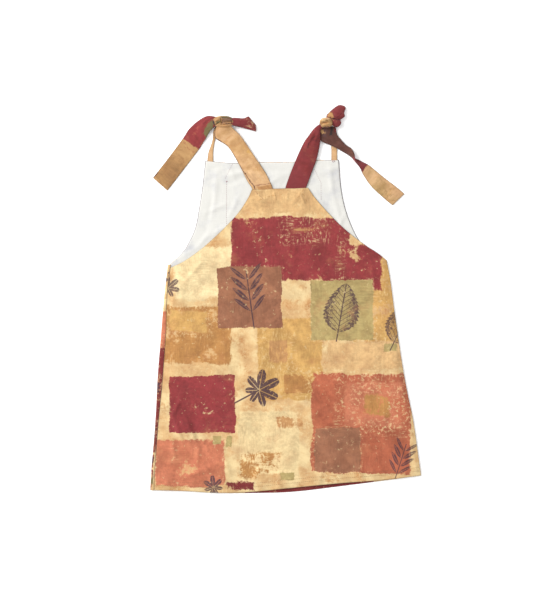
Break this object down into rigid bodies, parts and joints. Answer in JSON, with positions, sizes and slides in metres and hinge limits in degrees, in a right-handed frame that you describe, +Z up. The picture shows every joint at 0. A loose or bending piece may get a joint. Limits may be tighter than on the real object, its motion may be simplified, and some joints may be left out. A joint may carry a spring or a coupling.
{
  "type": "toddler's apron dress laid flat",
  "caption": "Small A-line apron dress laid flat on its back: bib front, lined back, and tie straps knotted through narrow back loops.",
  "frame": {"origin": "on the surface that the dress lies on, under the middle of its outline", "axes": "+Z up, out of the dress's front; +Y from hem to shoulders; +X to the right as seen from above"},
  "size_m": [0.3454, 0.4957, 0.0129],
  "materials": {
    "front_print": "matt printed cotton",
    "back_print": "matt printed cotton",
    "lining": "matt off-white cotton",
    "tan_print": "matt printed cotton",
    "crimson_print": "matt printed cotton"
  },
  "bodies": {
    "root": {"back_panel": "back_print", "back_lining": "lining", "front_panel": "front_print", "left_front_strap": "tan_print", "left_knot": "tan_print", "left_long_tail": "tan_print", "left_short_loop": "crimson_print", "left_back_loop": "tan_print", "right_front_strap": "crimson_print", "right_knot": "tan_print", "right_long_tail": "tan_print", "right_short_loop": "crimson_print", "right_back_loop": "tan_print"}
  },
  "joints": []
}
